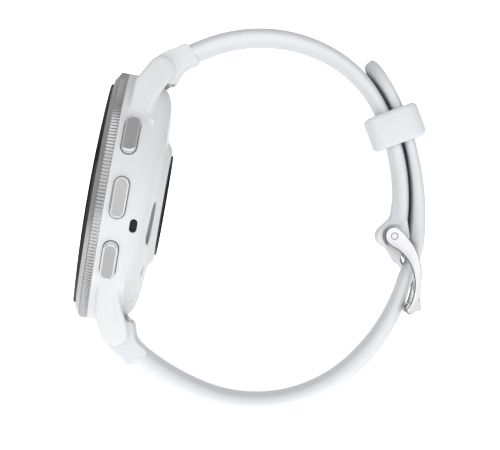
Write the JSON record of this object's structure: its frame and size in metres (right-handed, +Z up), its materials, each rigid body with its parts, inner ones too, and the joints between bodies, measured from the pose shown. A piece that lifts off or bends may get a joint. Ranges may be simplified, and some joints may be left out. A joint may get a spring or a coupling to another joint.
{
  "type": "gps running watch",
  "caption": "Round sports watch with steel bezel, side push buttons, sensor back cover and buckled silicone strap on quick-release bars.",
  "frame": {"origin": "on the surface that the watch stands on, under the middle of its bounding box", "axes": "+Z up along the longest extent, -X the side that the dial faces, -Y the 3 o'clock side with the buttons, Y across the strap"},
  "size_m": [0.064, 0.046, 0.0696],
  "materials": {
    "case_white": "satin",
    "cover_white": "satin",
    "bezel_steel": "polished bevel, fine knurl",
    "button_steel": "brushed face, polished rim",
    "buckle_steel": "polished",
    "steel": "plain",
    "glass_black": "polished, black edge",
    "display_dark": "smooth",
    "sensor_black": "polished",
    "rubber_black": "matte",
    "brass_gold": "plated",
    "board_green": "solder mask",
    "inner_plastic": "moulded",
    "battery_foil": "foil",
    "port_grey": "moulded",
    "membrane_white": "mesh",
    "flex_amber": "film",
    "led_green": "clear",
    "silicone_white": "matte silicone"
  },
  "bodies": {
    "case": {"case_body": "case_white", "back_cover": "cover_white", "bezel": "bezel_steel", "glass": "glass_black", "display": "display_dark", "glass_gasket": "rubber_black", "bezel_gasket": "rubber_black", "back_gasket": "rubber_black", "gps_antenna": "brass_gold", "main_board": "board_green", "inner_frame": "inner_plastic", "battery": "battery_foil", "back_screws": "steel", "sensor_window": "sensor_black", "sensor_board": "board_green", "sensor_leds": "led_green", "charge_port": "port_grey", "charge_contacts": "brass_gold", "vibration_motor": "steel", "beeper": "brass_gold", "microphone": "steel", "vent_membrane": "membrane_white", "switch_flex": "flex_amber", "switches": "inner_plastic"},
    "push_top": {"button_top": "button_steel", "oring_top": "rubber_black", "clip_top": "steel", "spring_top": "steel"},
    "push_middle": {"button_middle": "button_steel", "oring_middle": "rubber_black", "clip_middle": "steel", "spring_middle": "steel"},
    "push_bottom": {"button_bottom": "button_steel", "oring_bottom": "rubber_black", "clip_bottom": "steel", "spring_bottom": "steel"},
    "upper_strap": {"strap_top": "silicone_white", "bar_tube_top": "steel", "bar_pin_top": "steel", "bar_spring_top": "steel", "buckle_bar": "buckle_steel"},
    "lower_strap": {"strap_bottom": "silicone_white", "bar_tube_bottom": "steel", "bar_pin_bottom": "steel", "bar_spring_bottom": "steel"},
    "release_top": {"release_pin_top": "steel"},
    "release_bottom": {"release_pin_bottom": "steel"},
    "keeper": {"keeper": "silicone_white"},
    "buckle": {"buckle_frame": "buckle_steel"},
    "tongue": {"buckle_tongue": "buckle_steel"}
  },
  "joints": [
    {"name": "button_top_press", "type": "slide", "parent": "case", "child": "push_top", "axis": [-0.0868, 0.866, -0.4924], "range_m": [0, 0.0004], "stiffness_N_per_m": 1500, "springref_m": -0.0006, "deforming": ["spring_top"]},
    {"name": "button_middle_press", "type": "slide", "parent": "case", "child": "push_middle", "axis": [0, 1, 0], "range_m": [0, 0.0004], "stiffness_N_per_m": 1500, "springref_m": -0.0006, "deforming": ["spring_middle"]},
    {"name": "button_bottom_press", "type": "slide", "parent": "case", "child": "push_bottom", "axis": [0.0868, 0.866, 0.4924], "range_m": [0, 0.0004], "stiffness_N_per_m": 1500, "springref_m": -0.0006, "deforming": ["spring_bottom"]},
    {"name": "upper_strap_swing", "type": "hinge", "parent": "case", "child": "upper_strap", "pos_m": [-0.01572, 0.0005, 0.06222], "axis": [0, 1, 0], "range_deg": [-0.3, 0.3]},
    {"name": "lower_strap_swing", "type": "hinge", "parent": "case", "child": "lower_strap", "pos_m": [-0.0242, 0.0005, 0.01416], "axis": [0, 1, 0], "range_deg": [-0.37, 0.37]},
    {"name": "quick_release_top", "type": "slide", "parent": "upper_strap", "child": "release_top", "axis": [0, 1, 0], "range_m": [0, 0.0013], "stiffness_N_per_m": 300, "springref_m": -0.002, "deforming": ["bar_spring_top"]},
    {"name": "quick_release_bottom", "type": "slide", "parent": "lower_strap", "child": "release_bottom", "axis": [0, 1, 0], "range_m": [0, 0.0013], "stiffness_N_per_m": 300, "springref_m": -0.002, "deforming": ["bar_spring_bottom"]},
    {"name": "keeper_slide", "type": "hinge", "parent": "upper_strap", "child": "keeper", "pos_m": [-0.00543, 0.0005, 0.04008], "axis": [0, -1, 0], "range_deg": [-8, 8]},
    {"name": "buckle_swing", "type": "hinge", "parent": "upper_strap", "child": "buckle", "pos_m": [0.02598, 0.0005, 0.03185], "axis": [0, -1, 0], "range_deg": [0, 3]},
    {"name": "tongue_swing", "type": "hinge", "parent": "buckle", "child": "tongue", "pos_m": [0.02598, 0.0005, 0.03185], "axis": [0, -1, 0], "range_deg": [0, 3]}
  ],
  "couplings": [
    {"joint": "lower_strap_swing", "follows": "upper_strap_swing", "ratio": -1.2}
  ]
}
